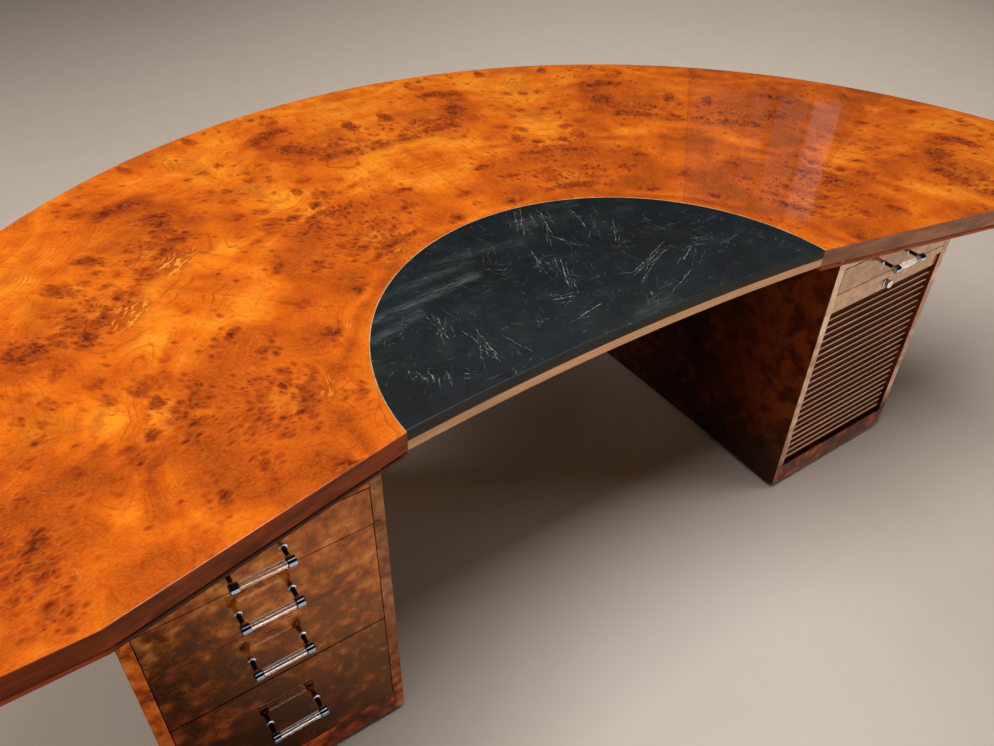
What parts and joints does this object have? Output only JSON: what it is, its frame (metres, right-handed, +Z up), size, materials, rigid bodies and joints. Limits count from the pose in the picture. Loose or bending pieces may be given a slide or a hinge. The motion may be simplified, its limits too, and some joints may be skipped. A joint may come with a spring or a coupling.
{
  "type": "captains desk",
  "caption": "Half-round writing desk on two pedestals, with a veneered top, a let-in leather pad, drawers with rod handles and a locking shutter cabinet.",
  "frame": {"origin": "on the floor, midway between the wing fronts and the back of the arc, in the middle of the desk's width", "axes": "+Z up, +X to the right of the person at the desk, who sits on the -Y side"},
  "size_m": [2.9894, 1.447, 0.76],
  "materials": {
    "burl_top": "high gloss lacquer",
    "burl_case": "high gloss lacquer",
    "burl_drawer": "high gloss lacquer",
    "edge_veneer": "high gloss lacquer",
    "bead_wood": "high gloss lacquer",
    "strip_wood": "gloss lacquer",
    "stringing": "gloss lacquer",
    "slat_wood": "gloss lacquer",
    "core_wood": "bare",
    "inner_wood": "satin",
    "drawer_wood": "satin",
    "plinth_wood": "matt black stain",
    "leather": "worn",
    "canvas": "woven",
    "chrome": "polished",
    "steel": "plain",
    "acrylic": "clear"
  },
  "bodies": {
    "desk": {"arc_edge_band": "edge_veneer", "bead_moulding": "bead_wood", "cabinet_divider": "burl_case", "cabinet_floor": "inner_wood", "drawer_runners": "inner_wood", "inlay_stringing": "stringing", "knee_strip": "strip_wood", "leather_pad": "leather", "left_back_panel": "burl_case", "left_bottom_rail": "burl_case", "left_floor_board": "inner_wood", "left_plinth": "plinth_wood", "left_side_inner": "burl_case", "left_side_outer": "burl_case", "left_top_board": "burl_case", "left_wing_lipping": "edge_veneer", "lock_strike": "steel", "right_back_panel": "burl_case", "right_base_board": "inner_wood", "right_bottom_rail": "burl_case", "right_plinth": "plinth_wood", "right_side_inner": "burl_case", "right_side_outer": "burl_case", "right_top_board": "burl_case", "right_wing_lipping": "edge_veneer", "top_core": "core_wood", "top_screws": "steel", "top_veneer": "burl_top"},
    "drawer_1": {"drawer_1_front": "burl_drawer", "drawer_1_box": "drawer_wood", "drawer_1_bottom": "drawer_wood", "drawer_1_handle_posts": "chrome", "drawer_1_handle_rod": "acrylic"},
    "drawer_2": {"drawer_2_front": "burl_drawer", "drawer_2_box": "drawer_wood", "drawer_2_bottom": "drawer_wood", "drawer_2_handle_posts": "chrome", "drawer_2_handle_rod": "acrylic"},
    "drawer_3": {"drawer_3_front": "burl_drawer", "drawer_3_box": "drawer_wood", "drawer_3_bottom": "drawer_wood", "drawer_3_handle_posts": "chrome", "drawer_3_handle_rod": "acrylic"},
    "drawer_4": {"drawer_4_front": "burl_drawer", "drawer_4_box": "drawer_wood", "drawer_4_bottom": "drawer_wood", "drawer_4_handle_posts": "chrome", "drawer_4_handle_rod": "acrylic"},
    "drawer_5": {"drawer_5_front": "burl_drawer", "drawer_5_box": "drawer_wood", "drawer_5_bottom": "drawer_wood", "drawer_5_handle_posts": "chrome", "drawer_5_handle_rod": "acrylic"},
    "shutter": {"shutter_lead_rail": "burl_case", "shutter_slats": "slat_wood", "shutter_canvas": "canvas", "lock_barrel": "chrome"},
    "lock_plug": {"lock_plug": "chrome"},
    "lock_bolt": {"lock_bolt": "steel"}
  },
  "joints": [
    {"name": "drawer_1_slide", "type": "slide", "parent": "desk", "child": "drawer_1", "axis": [0, -1, 0], "range_m": [0, 0.56]},
    {"name": "drawer_2_slide", "type": "slide", "parent": "desk", "child": "drawer_2", "axis": [0, -1, 0], "range_m": [0, 0.56]},
    {"name": "drawer_3_slide", "type": "slide", "parent": "desk", "child": "drawer_3", "axis": [0, -1, 0], "range_m": [0, 0.56]},
    {"name": "drawer_4_slide", "type": "slide", "parent": "desk", "child": "drawer_4", "axis": [0, -1, 0], "range_m": [0, 0.56]},
    {"name": "drawer_5_slide", "type": "slide", "parent": "desk", "child": "drawer_5", "axis": [0, -1, 0], "range_m": [0, 0.56]},
    {"name": "shutter_slide", "type": "slide", "parent": "desk", "child": "shutter", "axis": [0, 0, -1], "range_m": [0, 0.455], "deforming": ["shutter_slats", "shutter_canvas"]},
    {"name": "lock_turn", "type": "hinge", "parent": "shutter", "child": "lock_plug", "pos_m": [0.79, -0.625, 0.5815], "axis": [0, -1, 0], "range_deg": [0, 90]},
    {"name": "bolt_slide", "type": "slide", "parent": "shutter", "child": "lock_bolt", "axis": [0, 0, 1], "range_m": [0, 0.00637]}
  ],
  "couplings": [
    {"joint": "bolt_slide", "follows": "lock_turn", "m_per_rad": 0.004051}
  ]
}
